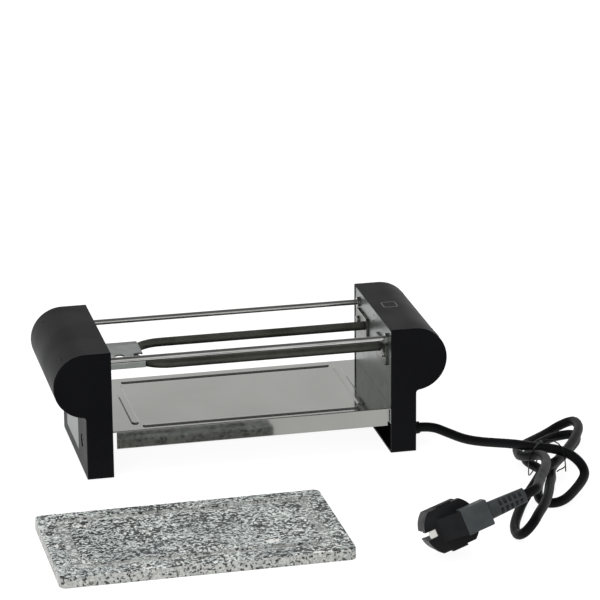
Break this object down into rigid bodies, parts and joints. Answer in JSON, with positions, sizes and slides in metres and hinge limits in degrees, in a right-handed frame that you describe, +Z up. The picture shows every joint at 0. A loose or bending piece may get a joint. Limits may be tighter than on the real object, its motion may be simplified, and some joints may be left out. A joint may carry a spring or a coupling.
{
  "type": "raclette grill",
  "caption": "Small table raclette grill: pan tray under a bent heating element between round-shouldered casings, with granite plate, corded plug and rocker switch.",
  "frame": {"origin": "on the table under the middle of the grill, between its four feet", "axes": "+X along the plate rods towards the casing with the switch and cord, +Y to the back of the grill, +Z up; the front, where the pans go in, faces -Y"},
  "size_m": [0.4204, 0.3329, 0.0964],
  "materials": {
    "casing_plastic": "fine-grained black moulding",
    "galvanised": "galvanised sheet, faint spangle",
    "tray_steel": "bright polished sheet",
    "rod_steel": "drawn bright wire",
    "fastener_steel": "zinc plated",
    "element_sheath": "dark oxidised heater sheath",
    "seal": "element end seal",
    "brass": "contacts and blades",
    "pin_metal": "nickel plated pins",
    "label_foil": "bare foil plate",
    "pad_rubber": "anti-slip foot",
    "switch_plastic": "glossy black",
    "cord_rubber": "satin black sheath",
    "plug_rubber": "moulded matt black",
    "hood_rubber": "slightly worn grey black",
    "wire_black": "coated wire",
    "terminal_plastic": "natural nylon",
    "granite": "speckled grey granite, polished"
  },
  "bodies": {
    "grill": {"left_casing": "casing_plastic", "right_casing": "casing_plastic", "left_side_plate": "galvanised", "right_side_plate": "galvanised", "front_rod": "rod_steel", "back_rod": "rod_steel", "rod_nuts": "fastener_steel", "heating_element": "element_sheath", "element_seals": "seal", "element_tabs": "brass", "element_flange_front": "galvanised", "element_flange_back": "galvanised", "flange_screws": "fastener_steel", "element_bracket": "galvanised", "bracket_screws": "fastener_steel", "pan_tray": "tray_steel", "tray_screws": "fastener_steel", "casing_screws": "fastener_steel", "clinch_nuts": "fastener_steel", "foot_pads": "pad_rubber", "rating_plate": "label_foil", "switch_housing": "switch_plastic", "switch_blades": "brass", "terminal_block": "terminal_plastic", "thermal_cutout": "switch_plastic", "cutout_tabs": "brass", "hookup_wires": "wire_black", "cord_clamp": "casing_plastic", "cord_gland": "cord_rubber", "power_lead": "cord_rubber", "cord_hank": "cord_rubber", "cord_tie": "wire_black", "plug_body": "plug_rubber", "plug_pins": "pin_metal", "plug_earth_clips": "pin_metal", "plug_hood": "hood_rubber", "plug_relief": "plug_rubber"},
    "rocker": {"switch_rocker": "switch_plastic"},
    "stone": {"stone_plate": "granite"}
  },
  "joints": [
    {"name": "switch_rock", "type": "hinge", "parent": "grill", "child": "rocker", "pos_m": [0.1438, -0.0265, 0.072], "axis": [0, -1, 0], "range_deg": [0, 14]},
    {"name": "stone_lift", "type": "slide", "parent": "grill", "child": "stone", "axis": [0, 0, 1], "range_m": [0, 0.15]}
  ]
}
